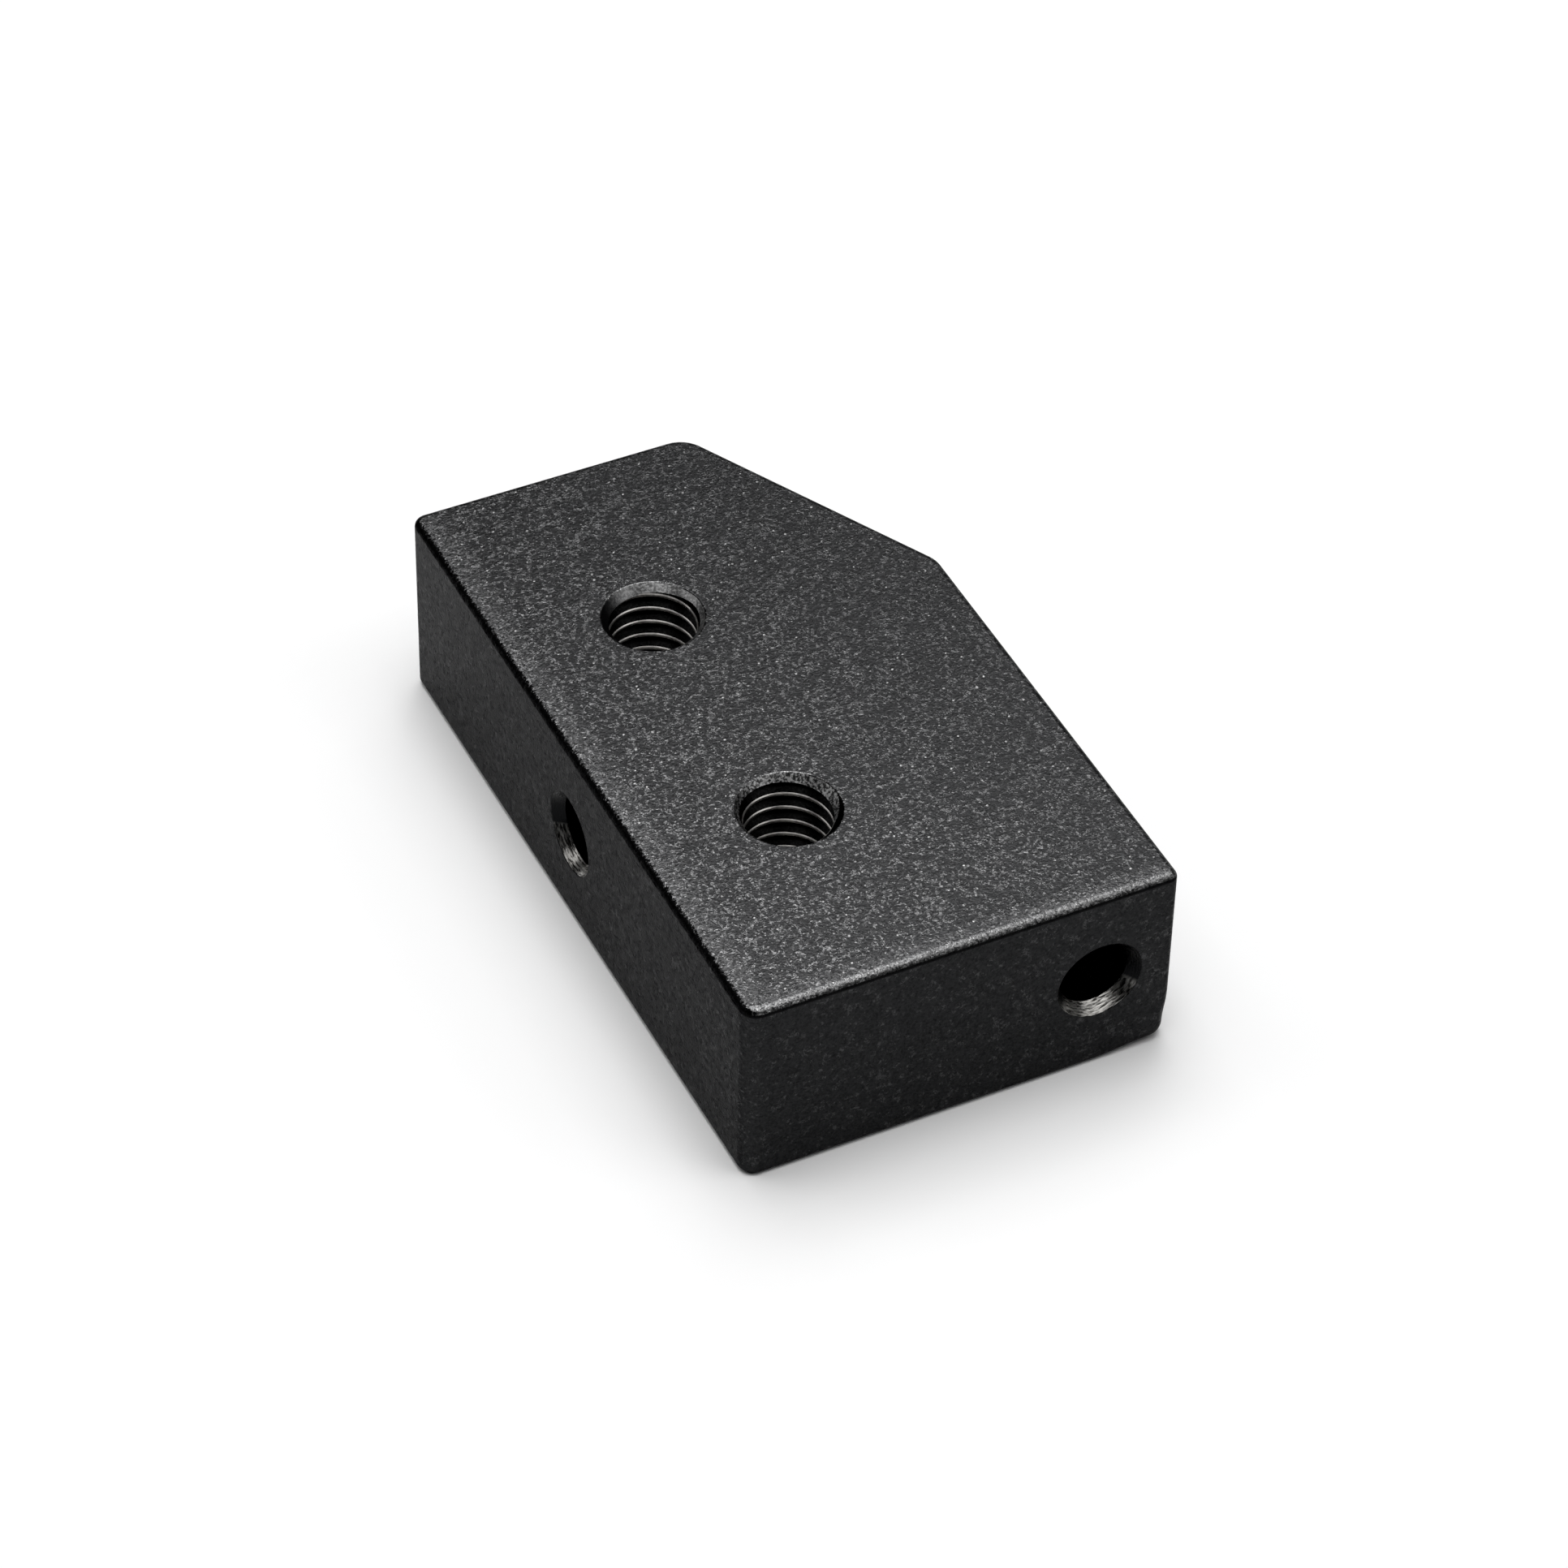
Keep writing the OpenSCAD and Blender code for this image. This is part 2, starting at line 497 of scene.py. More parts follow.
def blasted_finish():
    """Beaded black skin of the outside faces, with painted shade, sheen, glints and highlights."""
    finish = Finish("blasted_black")
    grain = finish.noise(GRAIN_SCALE, detail=3.0)
    pits = finish.noise(PIT_SCALE)
    worms = worm_pattern(finish)
    specks = speck_pattern(finish)
    sheen_gradient = sheen_gradient_pattern(finish)
    # Painted shade in the pits and painted light on the rises
    shaded = finish.remap(pits, *PIT_SPAN)
    flank_glints = finish.both(worms, patch_pattern(finish))
    top, front_highlight, dark, sheen_margin = painted_edge_bands(finish, pits)

    # Painted sheen: the top's greys rise from the back right to the front left
    pit = finish.mix(sheen_gradient, PIT_BACK, PIT_FRONT)
    rise = finish.mix(sheen_gradient, RISE_BACK, RISE_FRONT)
    sheen = finish.mix(shaded, pit, rise)
    # Painted sheen on the rises near the front and left margins
    sheen = finish.mix(finish.both(sheen_margin, shaded), sheen, MARGIN_SHEEN)
    # Painted glints on the worms and the specks
    glinting = finish.mix(worms, sheen, finish.mix(sheen_gradient, GLINT_BACK, GLINT_FRONT))
    glinting = finish.mix(finish.both(specks, shaded), glinting, SPECK_GLINT)
    flank = finish.mix(shaded, FLANK_PIT, FLANK_RISE)
    flank = finish.mix(flank_glints, flank, FLANK_GLINT)
    # The top skin takes the painted sheen, worms and specks, the flanks their darker greys
    skin = finish.mix(top, flank, glinting)
    # Painted highlight on the front edge
    skin = finish.mix(finish.both(front_highlight, shaded), skin, FRONT_HIGHLIGHT)
    # Painted shade of the dark lines
    skin = finish.mix(dark, skin, SHADE_LINE)

    # Tint for grazing light, with painted glints on the flank worms
    tint = finish.mix(finish.remap(grain, *CLOUD_SPAN), GRAZING_LOW, GRAZING_HIGH)
    tint = finish.mix(flank_glints, tint, GRAZING_GLINT)
    finish.feed(finish.shader.inputs["Specular Tint"], tint)
    raised = finish.bump(finish.math("MAXIMUM", worms, specks), WORM_HEIGHT)
    pitted = finish.bump(pits, PIT_DEPTH)
    finish.feed(pitted.inputs["Normal"], raised.outputs["Normal"])
    return finish.done(skin, finish.remap(grain, *NOISE_SPAN, *BLASTED_ROUGHNESS), pitted)


blasted = blasted_finish()
print("blasted finish:", len(blasted.node_tree.nodes), "nodes")

# %% [markdown]
# A tool leaves its own surface in the holes. The walls of the threads are smooth, and painted shade makes
# them nearly black. The chamfers of the through holes are dark too: the front one is scratched, with painted
# highlights in its light mottles, and the rear one is smooth, with painted shade that darkens it towards its
# left. One finish with two greys and a few settings makes all of them. The crests of the threads are bright
# with a painted highlight.

# %% Cut finishes
CUT_SCALE = 7000
CUT_SPAN = (0.42, 0.62)
CREST_SCALE = 2500
CREST_ROUGHNESS = (0.28, 0.42)
SCRATCH_DEPTH = 0.00002
SCRATCH_STRENGTH = 0.6
CUT_TINT = (0.2, 0.2, 0.2, 1)
# Painted shade on the left of the rear chamfer: its grey, how wide it fades and where it starts
SHADE = (0.025, 0.025, 0.026)
SHADE_WIDTH = 3.5
SHADE_LEFT_OF_AXIS = 2.2
# Greys of the crests' painted highlight
CREST_DARK = (0.25, 0.24, 0.225)
CREST_BRIGHT = (0.85, 0.83, 0.80)


def cut_finish(name, dark, light, roughness, shade_from=None):
    """Wall that a tool cut, mottled between two greys. Where shade_from is given, painted shade darkens the
    wall left of that X, in millimetres, and it reaches its own greys SHADE_WIDTH further on."""
    finish = Finish(name)
    grain = finish.noise(CUT_SCALE)
    colour = finish.mix(finish.remap(grain, *CUT_SPAN), (dark,) * 3, (light,) * 3)
    if shade_from is not None:
        across = finish.split(finish.place)["X"]
        lit = finish.remap(across, shade_from * MM, (shade_from + SHADE_WIDTH) * MM)
        colour = finish.mix(lit, SHADE, colour)
    finish.shader.inputs["Specular Tint"].default_value = CUT_TINT
    bump = finish.bump(grain, SCRATCH_DEPTH, SCRATCH_STRENGTH)
    return finish.done(colour, finish.remap(grain, *NOISE_SPAN, *roughness), bump)


def crest_finish():
    """Bright metal of the threads' crests, a painted highlight."""
    finish = Finish("bright_crest")
    grain = finish.noise(CREST_SCALE)
    colour = finish.mix(grain, CREST_DARK, CREST_BRIGHT)
    bump = finish.bump(grain, SCRATCH_DEPTH, SCRATCH_STRENGTH)
    return finish.done(colour, finish.remap(grain, *NOISE_SPAN, *CREST_ROUGHNESS), bump)


rear_shade = mount_place("rear_through_hole").x - SHADE_LEFT_OF_AXIS
# Walls of the threads and bores, near black with painted shade
cut = cut_finish("cut_black", dark=0.002, light=0.006, roughness=(0.2, 0.3))
# Front chamfer: its light mottles are painted highlights
mottled = cut_finish("mottled_black", dark=0.03, light=0.42, roughness=(0.3, 0.45))
# Rear chamfer: painted shade darkens it left of rear_shade
smooth = cut_finish("smooth_grey", dark=0.22, light=0.50, roughness=(0.3, 0.4), shade_from=rear_shade)
crest = crest_finish()
print("cut finishes:", [finish.name for finish in (cut, mottled, smooth, crest)])

# %% [markdown]
# The two countersinks show streaks that run round with the tool. Painted light makes them bright streaked
# aluminium at the bottom of each, and above that they stay dyed. A noise on plain coordinates has no
# direction. So this one is read at the radius, the depth and the angle round the hole's axis, and the angle
# is scaled down so far that the noise hardly changes along it.

# %% Countersinks with painted light at the bottom
STREAK_SCALE = 9000
STREAK_SPAN = (0.38, 0.6)
STREAK_ROUGHNESS = (0.22, 0.36)
STREAK_DEPTH = 0.00003
STREAK_STRENGTH = 0.7
ANGLE_TO_METRES = 0.0005
# Greys of the streaks under the painted light
STREAK_DARK = (0.02, 0.019, 0.017)
STREAK_BRIGHT = (0.48, 0.47, 0.45)
DYED = (0.006, 0.0062, 0.0066)


def turned_place(finish, centre, across, depth):
    """Coordinates along the radius, the depth and, much slower, the angle round a hole's axis."""
    moved = finish.node("ShaderNodeVectorMath")
    moved.operation = "SUBTRACT"
    moved.inputs[1].default_value = centre
    finish.feed(moved.inputs[0], finish.place)
    parts = finish.split(moved.outputs[0])
    side, rise = parts[across], parts["Z"]
    squares = finish.math("ADD", finish.math("MULTIPLY", side, side), finish.math("MULTIPLY", rise, rise))
    angle = finish.math("ARCTAN2", rise, side)
    joined = finish.node("ShaderNodeCombineXYZ", X=finish.math("SQRT", squares), Y=parts[depth],
                         Z=finish.math("MULTIPLY", angle, ANGLE_TO_METRES))
    return joined.outputs[0]


def lit_countersink_finish(name, centre, across, depth, lit_below, dyed_above):
    """Countersink with painted light, bright streaked metal, below one distance under the hole's axis, and
    dyed above another.
    """
    finish = Finish(name)
    streaks = finish.noise(STREAK_SCALE, place=turned_place(finish, centre, across, depth))
    lit_streaks = finish.mix(finish.remap(streaks, *STREAK_SPAN), STREAK_DARK, STREAK_BRIGHT)
    height = finish.split(finish.place)["Z"]
    # Painted light: bright streaks below, dyed metal above
    painted_light_below = finish.remap(height, centre.z - lit_below * MM, centre.z - dyed_above * MM, 1.0, 0.0)
    roughness = finish.remap(streaks, *NOISE_SPAN, *STREAK_ROUGHNESS)
    bump = finish.bump(streaks, STREAK_DEPTH, STREAK_STRENGTH)
    return finish.done(finish.mix(painted_light_below, DYED, lit_streaks), roughness, bump)


bare_side = lit_countersink_finish("bare_side", mount_place("side_hole") * MM, "Y", "X", lit_below=1.7, dyed_above=1.0)
bare_end = lit_countersink_finish("bare_end", mount_place("end_hole") * MM, "X", "Y", lit_below=1.7, dyed_above=0.9)
print("materials:", [material.name for material in bpy.data.materials])

# %% [markdown]
# A thread is a groove that follows a helix, so it has a rule, and Geometry Nodes can build it. A flat grid
# is rolled into a tube: one side of the grid counts the turns, the other goes round the axis. Each point
# climbs by one pitch on its way round, so the tube's rows become helices that join up with themselves.
# Six rows a turn are enough: a flat crest with a small bevel on each side, a flat root an eighth of a
# pitch wide, and straight flanks between them.

# %% Shares of one pitch
CREST_SHARE = 0.13
BEVEL_SHARE = 0.06
ROOT_SHARE = 0.125
FLANK_SHARE = (1 - CREST_SHARE - 2 * BEVEL_SHARE - ROOT_SHARE) / 2
ROW_STEPS = (BEVEL_SHARE, CREST_SHARE, BEVEL_SHARE, FLANK_SHARE, ROOT_SHARE)
ROWS_PER_TURN = len(ROW_STEPS) + 1
CREST_ROWS = 3
GRID_SIZE = 1.0


class GeometryTree(NodeWriter):
    """Geometry node tree with named inputs and one geometry output."""

    def __init__(self, name):
        super().__init__(bpy.data.node_groups.new(name, "GeometryNodeTree"))
        self.tree.interface.new_socket("Geometry", in_out="OUTPUT", socket_type="NodeSocketGeometry")
        self.start = self.node("NodeGroupInput")
        self.end = self.node("NodeGroupOutput")

    def entry(self, name, kind="NodeSocketFloat"):
        """Named input of the tree."""
        self.tree.interface.new_socket(name, in_out="INPUT", socket_type=kind)
        return self.start.outputs[name]


print(f"rows in a turn: {ROWS_PER_TURN}, and each flank takes {FLANK_SHARE:.4f} of the pitch")

# %% Parts of the thread's rule
def grid_rows(tree, rows, steps):
    """Flat grid and, for each of its points, the turn, the row in that turn and the way round, 0 to 1."""
    grid = tree.node("GeometryNodeMeshGrid", Size_X=GRID_SIZE, Size_Y=GRID_SIZE, Vertices_X=rows,
                     Vertices_Y=tree.math("ADD", steps, 1))
    position = tree.node("GeometryNodeInputPosition")
    parts = tree.node("ShaderNodeSeparateXYZ", Vector=position.outputs[0])
    along = tree.math("ADD", parts.outputs["X"], GRID_SIZE / 2)
    around = tree.math("ADD", parts.outputs["Y"], GRID_SIZE / 2)
    row = tree.math("ROUND", tree.math("MULTIPLY", along, tree.math("SUBTRACT", rows, 1)))
    turn = tree.math("FLOOR", tree.math("DIVIDE", tree.math("ADD", row, 0.5), ROWS_PER_TURN))
    row_in_turn = tree.math("SUBTRACT", row, tree.math("MULTIPLY", turn, ROWS_PER_TURN))
    return grid.outputs["Mesh"], turn, row_in_turn, around


def rows_reached(tree, row_in_turn):
    """For each step between rows, 1 where a point is past it, and the share of the pitch climbed so far."""
    reached = []
    share = 0.0
    for count, width in enumerate(ROW_STEPS):
        reached.append(tree.math("GREATER_THAN", row_in_turn, count + 0.5))
        share = tree.math("ADD", share, tree.math("MULTIPLY", reached[-1], width))
    return reached, share


def thread_radius(tree, reached, pitch, crest_radius, root_radius):
    """Radius of each row: crest, bevel or root."""
    bevel = tree.math("MULTIPLY", pitch, BEVEL_SHARE)
    at_bevel = tree.math("ADD", tree.math("SUBTRACT", 1.0, reached[0]), reached[2])
    radius = tree.math("ADD", crest_radius, tree.math("MULTIPLY", at_bevel, bevel))
    depth = tree.math("SUBTRACT", tree.math("SUBTRACT", root_radius, crest_radius), bevel)
    return tree.math("ADD", radius, tree.math("MULTIPLY", reached[3], depth))


def finish_rows(tree, geometry, steps, flank_finish, crest_finish):
    """Gives the crests and their bevels one finish and the rest another."""
    plain = tree.node("GeometryNodeSetMaterial", Geometry=geometry, Material=flank_finish)
    index = tree.node("GeometryNodeInputIndex").outputs[0]
    row = tree.math("FLOOR", tree.math("DIVIDE", tree.math("ADD", index, 0.5), steps))
    on_crest = tree.math("LESS_THAN", tree.math("MODULO", row, ROWS_PER_TURN), CREST_ROWS - 0.5)
    bright = tree.node("GeometryNodeSetMaterial", Geometry=plain.outputs[0], Selection=on_crest,
                       Material=crest_finish)
    return bright.outputs[0]


# %% Tree that rolls a grid into a threaded plug
DOUBLES = 0.0005


def thread_tree():
    """Closed plug with a thread on it, its axis along Z, tapered to a point at both ends."""
    tree = GeometryTree("threaded_plug")
    pitch = tree.entry("Pitch")
    crest_radius = tree.entry("Crest radius")
    root_radius = tree.entry("Root radius")
    low_end = tree.entry("Low end")
    high_end = tree.entry("High end")
    first_crest = tree.entry("First crest")
    taper = tree.entry("Taper")
    rows = tree.entry("Rows", "NodeSocketInt")
    steps = tree.entry("Steps round", "NodeSocketInt")
    flank_finish = tree.entry("Flank finish", "NodeSocketMaterial")
    crest_finish = tree.entry("Crest finish", "NodeSocketMaterial")

    grid, turn, row_in_turn, around = grid_rows(tree, rows, steps)
    reached, share = rows_reached(tree, row_in_turn)
    climbed = tree.math("ADD", tree.math("ADD", turn, share), around)
    height = tree.math("ADD", first_crest, tree.math("MULTIPLY", climbed, pitch))
    height = tree.math("MAXIMUM", tree.math("MINIMUM", height, high_end), low_end)
    radius = thread_radius(tree, reached, pitch, crest_radius, root_radius)
    from_low = tree.math("MULTIPLY", tree.math("SUBTRACT", height, low_end), taper)
    from_high = tree.math("MULTIPLY", tree.math("SUBTRACT", high_end, height), taper)
    radius = tree.math("MINIMUM", radius, tree.math("MINIMUM", from_low, from_high))
    angle = tree.math("MULTIPLY", around, 2 * math.pi)
    rolled = tree.node("ShaderNodeCombineXYZ", X=tree.math("MULTIPLY", radius, tree.math("COSINE", angle)),
                       Y=tree.math("MULTIPLY", radius, tree.math("SINE", angle)), Z=height)
    moved = tree.node("GeometryNodeSetPosition", Geometry=grid, Position=rolled.outputs[0])
    finished = finish_rows(tree, moved.outputs[0], steps, flank_finish, crest_finish)
    merged = tree.node("GeometryNodeMergeByDistance", Geometry=finished, Distance=DOUBLES)
    real = tree.node("GeometryNodeRealizeInstances", Geometry=merged.outputs[0])
    tree.feed(tree.end.inputs[0], real.outputs[0])
    return tree.tree


THREAD_TREE = thread_tree()
print("thread tree:", len(THREAD_TREE.nodes), "nodes")

# %% [markdown]
# A modifier runs the tree with the sizes of one hole. Its result is turned into a plain mesh, and the
# doubles at the two points are dropped with the faces that have no area, so the plug is truly closed.

# %% From the tree to a plain mesh
def new_object(name, mesh):
    """Puts a mesh in the scene as an object."""
    thing = bpy.data.objects.new(name, mesh)
    bpy.context.scene.collection.objects.link(thing)
    return thing


def run_tree(name, group, values):
    """Mesh that a geometry node tree makes from named values."""
    holder = new_object(name, bpy.data.meshes.new(name))
    modifier = holder.modifiers.new("tree", "NODES")
    modifier.node_group = group
    for item in group.interface.items_tree:
        if item.item_type == "SOCKET" and item.in_out == "INPUT":
            modifier[item.identifier] = values[item.name]
    bpy.context.view_layer.update()
    evaluated = holder.evaluated_get(bpy.context.evaluated_depsgraph_get())
    mesh = bpy.data.meshes.new_from_object(evaluated)
    bpy.data.objects.remove(holder)
    return mesh


def edit_mesh(mesh, edit):
    """Opens a mesh for an edit and gives the number of edges that are left open."""
    shape = bmesh.new()
    shape.from_mesh(mesh)
    edit(shape)
    open_edges = sum(1 for edge in shape.edges if not edge.is_manifold)
    shape.to_mesh(mesh)
    shape.free()
    return open_edges


# %% Plug for one thread
STEPS_ROUND = 128
SPARE_TURNS = 2
NO_AREA = 0.0001


def close_plug(shape):
    """Merges doubles, drops faces without area and turns all faces outwards."""
    bmesh.ops.remove_doubles(shape, verts=shape.verts, dist=DOUBLES)
    bmesh.ops.dissolve_degenerate(shape, edges=shape.edges, dist=NO_AREA)
    bmesh.ops.recalc_face_normals(shape, faces=shape.faces)


def thread_plug(name, pitch, crest_radius, root_radius, low_end, high_end, crest_at, taper):
    """Threaded plug along Z. crest_at is a height of the crest's middle where its angle is zero."""
    turns = math.ceil((high_end - low_end) / pitch) + 2 * SPARE_TURNS
    first = crest_at - pitch * (CREST_SHARE / 2 + BEVEL_SHARE)
    first -= pitch * (math.ceil((first - low_end) / pitch) + SPARE_TURNS)
    mesh = run_tree(name, THREAD_TREE, {
        "Pitch": pitch, "Crest radius": crest_radius, "Root radius": root_radius,
        "Low end": low_end, "High end": high_end, "First crest": first, "Taper": taper,
        "Rows": turns * ROWS_PER_TURN + 1, "Steps round": STEPS_ROUND,
        "Flank finish": cut, "Crest finish": crest,
    })
    open_edges = edit_mesh(mesh, close_plug)
    print(f"{name}: {len(mesh.polygons)} faces, {open_edges} open edges")
    return mesh


# %% [markdown]
# The mouths, the smooth bores and the drill points are turned shapes. A Screw modifier could turn them,
# but the rings that made the block do it as well, and they let each step of the profile have its own
# finish. A small round where the chamfer meets the face stands for the edge that the blasting wore soft.

# %% Turned cutters
def spin(name, profile, finishes):
    """Closed turned mesh from a profile of (radius, height), from its lowest to its highest point, with
    a finish for each step of the profile."""
    rings = []
    for radius, height in profile:
        ring = []
        for step in range(STEPS_ROUND):
            angle = 2 * math.pi * step / STEPS_ROUND
            ring.append((radius * math.cos(angle), radius * math.sin(angle), height))
        rings.append(ring)
    mesh = mesh_from_rings(name, rings)
    used = list(dict.fromkeys(finishes))
    for finish in used:
        mesh.materials.append(finish)
    for face in mesh.polygons:
        level = min(face.index // STEPS_ROUND, len(finishes) - 1)
        face.material_index = used.index(finishes[level])
    return mesh


# %% Mouth with a rounded rim
PAST_FACE = 1.0
PAST_SLOPE = math.radians(3)
RIM_STEPS = 8


def mouth_profile(mouth_radius, slope_angle, rim_radius, inner_radius):
    """Chamfer that opens upwards to z = 0 with a rounded rim, from its narrow end up past the face.

    mouth_radius is where chamfer and face would meet in a sharp edge, and slope_angle is the angle
    between them."""
    tangent = rim_radius * math.tan(slope_angle / 2)
    start = mouth_radius + tangent
    rim = []
    for step in range(RIM_STEPS + 1):
        angle = slope_angle * step / RIM_STEPS
        rim.append((start - rim_radius * math.sin(angle), -rim_radius * (1 - math.cos(angle))))
    last_radius, last_height = rim[-1]
    drop = (last_radius - inner_radius) * math.tan(slope_angle)
    lift = PAST_FACE * math.tan(PAST_SLOPE)
    return [(inner_radius, last_height - drop)] + list(reversed(rim)) + [(start + PAST_FACE, lift)]


def mouth_finishes(wall):
    """Finish of each step of a mouth's profile: the tool's on the chamfer, the block's own on the rim."""
    return [wall] + [blasted] * (RIM_STEPS + 1)


print("steps of a mouth's profile:", len(mouth_finishes(cut)))

# %% [markdown]
# The two upright holes have a six millimetre thread of one millimetre pitch and a chamfer of 45 degrees at
# each face. How deep the first crest lies differs between them, and so does how far the thread cuts into
# the chamfer. Each plug ends in a point outside the face, and the slope of that point sets the cut. A
# thread is also turned by less than a step, so that none of its corners falls on a corner of a turned
# cutter, which a boolean cut can't always tell apart.

# %% Cutters of the two through holes
PITCH_6 = 1.0
ROOT_6 = 3.0
MOUTH_6 = 3.0
CONE_END_6 = 1.5
CHAMFER = math.radians(45)
THROUGH_RIM = 0.15
PART_OF_STEP = 0.43
OFF_STEP = Matrix.Rotation(2 * math.pi / STEPS_ROUND * PART_OF_STEP, 4, "Z")


def placed(mesh, matrix):
    """Cutter object whose place is in its mesh."""
    mesh.transform(matrix)
    return new_object(mesh.name, mesh)


def through_cutters(name, crest_depth, point, taper, wall):
    """Thread and both chamfers of a through hole. crest_depth is how deep a crest lies at the +Y side,
    and point is how far outside each face the plug ends."""
    centre = mount_place(name)
    centre.z = 0
    at = Matrix.Translation(centre)
    bore = mounts[name]["dims"]["r_mm"]
    crest_at = thickness - crest_depth - PITCH_6 / 4
    plug = thread_plug(name + "_thread", PITCH_6, bore, ROOT_6, -point, thickness + point, crest_at, taper)
    profile = mouth_profile(MOUTH_6, CHAMFER, THROUGH_RIM, CONE_END_6)
    finishes = mouth_finishes(wall)
    top = at @ Matrix.Translation((0, 0, thickness))
    bottom = at @ Matrix.Rotation(math.pi, 4, "X")
    return [
        placed(spin(name + "_mouth", profile, finishes), top),
        placed(spin(name + "_under", profile, finishes), bottom),
        placed(plug, at @ OFF_STEP),
    ]


cutters = through_cutters("front_through_hole", crest_depth=1.20, point=2.0, taper=2.5, wall=mottled)
cutters += through_cutters("rear_through_hole", crest_depth=0.545, point=4.2, taper=0.59, wall=smooth)
print("through cutters:", [thing.name for thing in cutters])

# %% [markdown]
# The side hole and the end hole are blind, with the cone of a drill at their end and a countersink at
# their mouth. No thread shows in their first five millimetres, so the thread starts past that. A hole's
# whole profile is one turned shape, because two cutters that share a wall leave the cut to chance.

# %% Cutters of the two blind holes
PITCH_5 = 0.8
ROOT_5 = 2.5
DRILL_ANGLE = math.radians(118)
DRILL_TIP = 0.002
BLIND_RIM = 0.08
BLIND_TAPER = 2.0
THREAD_START = 5.0
THREAD_STOPS_BEFORE = 0.5


def blind_cutters(name, depth, mouth_radius, mouth_depth, outward, wall):
    """Countersink, bore with a drill point, and a thread that starts past what the eye sees."""
    bore = mounts[name]["dims"]["r_mm"]
    point = bore / math.tan(DRILL_ANGLE / 2)
    slope_angle = math.atan2(mouth_depth, mouth_radius - bore)
    hole = [(DRILL_TIP, -depth - point), (bore, -depth)]
    hole += mouth_profile(mouth_radius, slope_angle, BLIND_RIM, bore)
    finishes = [cut, cut] + mouth_finishes(wall)
    plug = thread_plug(name + "_thread", PITCH_5, bore, ROOT_5, -depth + THREAD_STOPS_BEFORE,
                       -THREAD_START + bore / BLIND_TAPER, 0.0, BLIND_TAPER)
    mouth = mount_place(name) + outward * (mounts[name]["dims"]["length_mm"] / 2 + mouth_depth)
    turn = Vector((0, 0, 1)).rotation_difference(outward).to_matrix().to_4x4()
    at = Matrix.Translation(mouth) @ turn
    return [placed(spin(name + "_bore", hole, finishes), at), placed(plug, at @ OFF_STEP)]


to_left = Vector((-1, 0, 0))
to_front = Vector((0, -1, 0))
cutters += blind_cutters("side_hole", depth=12.0, mouth_radius=2.55, mouth_depth=0.7, outward=to_left,
                         wall=bare_side)
cutters += blind_cutters("end_hole", depth=15.0, mouth_radius=2.6, mouth_depth=0.8, outward=to_front,
                         wall=bare_end)
print("all cutters:", [thing.name for thing in cutters])

# %% [markdown]
# Each cutter is taken from the block by an exact boolean cut, one after the other. The cut keeps the
# cutter's own finish on the faces that it leaves, as a tool leaves its own surface. Points that a cut
# leaves almost on top of each other would spoil the next one, so they are merged in between.

# %% Cut the holes
SAME_POINT = 0.00002


def evaluated_mesh(thing):
    """Plain mesh of an object with its modifiers done."""
    bpy.context.view_layer.update()
    depsgraph = bpy.context.evaluated_depsgraph_get()
    return bpy.data.meshes.new_from_object(thing.evaluated_get(depsgraph), depsgraph=depsgraph)


def join_close_points(shape):
    """Merges points that a cut left in one place, and what falls flat with them."""
    bmesh.ops.remove_doubles(shape, verts=shape.verts, dist=SAME_POINT)
    bmesh.ops.dissolve_degenerate(shape, edges=shape.edges, dist=SAME_POINT)


def cut_holes(block, tools):
    """Takes the cutters from the block one by one and deletes them."""
    for tool in tools:
        step = block.modifiers.new(tool.name, "BOOLEAN")
        step.operation = "DIFFERENCE"
        step.solver = "EXACT"
        step.material_mode = "TRANSFER"
        step.object = tool
        block.data = evaluated_mesh(block)
        block.modifiers.clear()
        edit_mesh(block.data, join_close_points)
        bpy.data.objects.remove(tool)


block_mesh.materials.append(blasted)
block = new_object("machined_block", block_mesh)
cut_holes(block, cutters)
print("faces after the cuts:", len(block.data.polygons))

# %% [markdown]
# Smooth shading would also bend the light over the big flat faces. So edges sharper than a limit are
# marked, and weighted normals keep the flat faces truly flat beside their round edges. The block is then
# scaled to metres, and it takes the place of the plain solid.

# %% Shade the block and put it in place
SHARP_ANGLE = math.radians(24)
CLOSE_POINTS = 0.00005


def mark_edges(shape):
    """Smooth faces, with sharp edges where the surface really turns."""
    bmesh.ops.remove_doubles(shape, verts=shape.verts, dist=CLOSE_POINTS)
    for face in shape.faces:
        face.smooth = True
    for edge in shape.edges:
        edge.smooth = edge.is_manifold and edge.calc_face_angle() < SHARP_ANGLE


open_edges = edit_mesh(block.data, mark_edges)
block.data.transform(Matrix.Scale(MM, 4))
weigh = block.modifiers.new("weigh", "WEIGHTED_NORMAL")
weigh.keep_sharp = True
block.data = evaluated_mesh(block)
block.modifiers.clear()
triangles = sum(len(face.vertices) - 2 for face in block.data.polygons)
print(f"machined block: {triangles} triangles, {open_edges} open edges")
print("its finishes:", [slot.material.name for slot in block.material_slots])
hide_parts(NODE)
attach(block, "root")

# %% [markdown]
# The set is a plain floor of pale, matt paper. The lamps light it almost to white, and it keeps the
# block's soft shadow. A floor that glowed would be whiter, but it would wash that shadow out.

# %% Floor
FLOOR_SIZE = 3.0
PAPER = (0.95, 0.95, 0.95, 1)
PAPER_ROUGHNESS = 0.9


def floor_finish():
    """Pale matt paper with no gloss."""
    material = bpy.data.materials.new("white_paper")
    material.use_nodes = True
    shader = material.node_tree.nodes["Principled BSDF"]
    shader.inputs["Base Color"].default_value = PAPER
    shader.inputs["Roughness"].default_value = PAPER_ROUGHNESS
    shader.inputs["Specular IOR Level"].default_value = 0.0
    return material


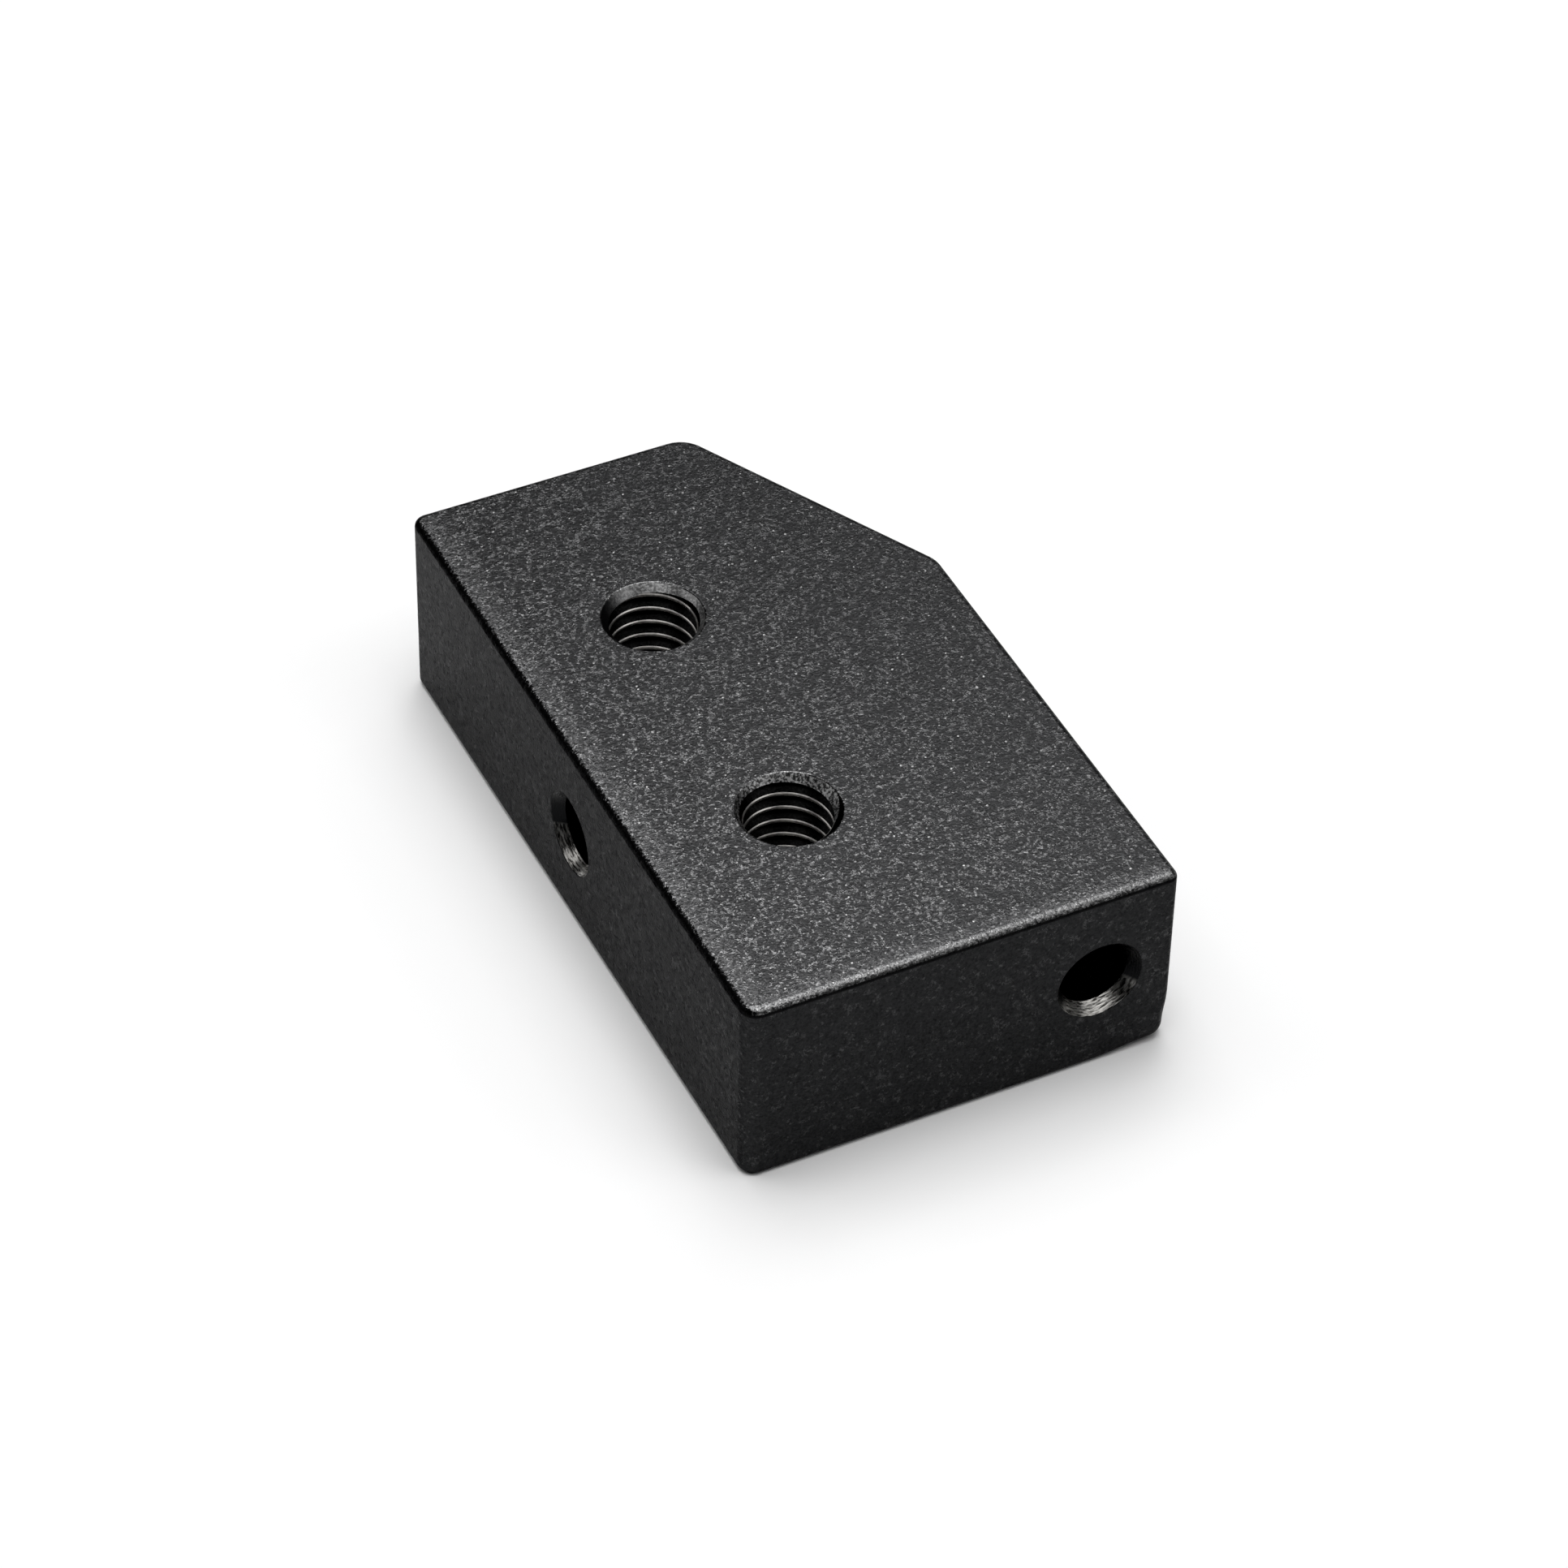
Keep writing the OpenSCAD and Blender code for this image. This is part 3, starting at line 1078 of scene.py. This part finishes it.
floor_shape = bmesh.new()
bmesh.ops.create_grid(floor_shape, x_segments=1, y_segments=1, size=FLOOR_SIZE / 2)
floor_mesh = bpy.data.meshes.new("floor")
floor_shape.to_mesh(floor_mesh)
floor_shape.free()
floor_mesh.materials.append(floor_finish())
floor = new_object("floor", floor_mesh)
print("floor:", FLOOR_SIZE, "m")

# %% [markdown]
# The camera stands where the photographer's did. Its place was worked out from the block's outline and
# the rims of the holes: it looks down from the front left through a long lens, a third of a metre away.
# The two small aims slide it sideways and up, so that the block sits in the picture as it should.

# %% Camera
CAMERA_AZIMUTH = math.radians(-26.773)
CAMERA_ELEVATION = math.radians(42.716)
CAMERA_ROLL = math.radians(1.319)
CAMERA_DISTANCE = 0.32353
AIM_RIGHT = 0.000265
AIM_UP = 0.003845
LENS = 129.6
NEAREST = 0.01


def aim_camera():
    """Camera at the fitted angle, roll, distance and lens."""
    back = Vector((math.sin(CAMERA_AZIMUTH) * math.cos(CAMERA_ELEVATION),
                   -math.cos(CAMERA_AZIMUTH) * math.cos(CAMERA_ELEVATION),
                   math.sin(CAMERA_ELEVATION)))
    level = Vector((math.cos(CAMERA_AZIMUTH), math.sin(CAMERA_AZIMUTH), 0))
    upright = back.cross(level)
    right = level * math.cos(CAMERA_ROLL) + upright * math.sin(CAMERA_ROLL)
    up = upright * math.cos(CAMERA_ROLL) - level * math.sin(CAMERA_ROLL)
    data = bpy.data.cameras.new("camera")
    data.lens = LENS
    data.clip_start = NEAREST
    camera = bpy.data.objects.new("camera", data)
    bpy.context.scene.collection.objects.link(camera)
    turn = Matrix((right, up, back)).transposed().to_4x4()
    place = right * AIM_RIGHT + up * AIM_UP + back * CAMERA_DISTANCE
    camera.matrix_world = Matrix.Translation(place) @ turn
    bpy.context.scene.camera = camera
    return camera


camera = aim_camera()
print("camera at", [round(number, 4) for number in camera.matrix_world.translation])

# %% [markdown]
# Six lamps light the set. A softbox hangs over the far side, and the top face reflects it as an even grey. A
# wide one and a smaller, brighter one hang straight above and light the floor. Three weaker ones stand at
# the back right, the back left and the front right, for the faces, chamfers and threads that look that way.
# The room round them stays dim, so the walls of the holes stay dark, and their painted shade makes them
# darker still. Their strengths were found by rendering each lamp by itself and weighing the pictures against
# the photograph's grey levels.

# %% Lights
LAMPS = (
    ("far_softbox", (0.08, 0.42, 0.90), 0.8, 0.40, 0.34, 2.74),
    ("right_softbox", (0.52, 0.55, 0.65), 0.8, 0.40, 0.34, 0.85),
    ("high_softbox", (0.0, 0.0, 1.0), 1.0, 1.1, 1.1, 1.83),
    ("high_lamp", (0.0, 0.0, 1.0), 0.9, 0.40, 0.40, 4.6),
    ("left_softbox", (-0.60, 0.45, 0.66), 0.9, 0.50, 0.40, 1.25),
    ("front_softbox", (0.60, -0.45, 0.66), 0.9, 0.50, 0.40, 1.41),
)
ROOM = (0.01, 0.01, 0.0104, 1)


def softbox(name, direction, distance, width, height, glow):
    """Rectangular lamp that faces the block. glow is its brightness, where 1 is white."""
    data = bpy.data.lights.new(name, "AREA")
    data.shape = "RECTANGLE"
    data.size = width
    data.size_y = height
    data.energy = glow * math.pi * width * height
    light = bpy.data.objects.new(name, data)
    towards = Vector(direction).normalized()
    light.matrix_world = (Matrix.Translation(towards * distance)
                          @ towards.to_track_quat("Z", "Y").to_matrix().to_4x4())
    bpy.context.scene.collection.objects.link(light)
    return light


lamps = [softbox(*lamp) for lamp in LAMPS]
world = bpy.data.worlds.new("room")
world.use_nodes = True
world.node_tree.nodes["Background"].inputs["Color"].default_value = ROOM
bpy.context.scene.world = world
bpy.context.scene.view_settings.view_transform = "Standard"
print("lamps in watts:", {lamp.name: round(lamp.data.energy, 3) for lamp in lamps})
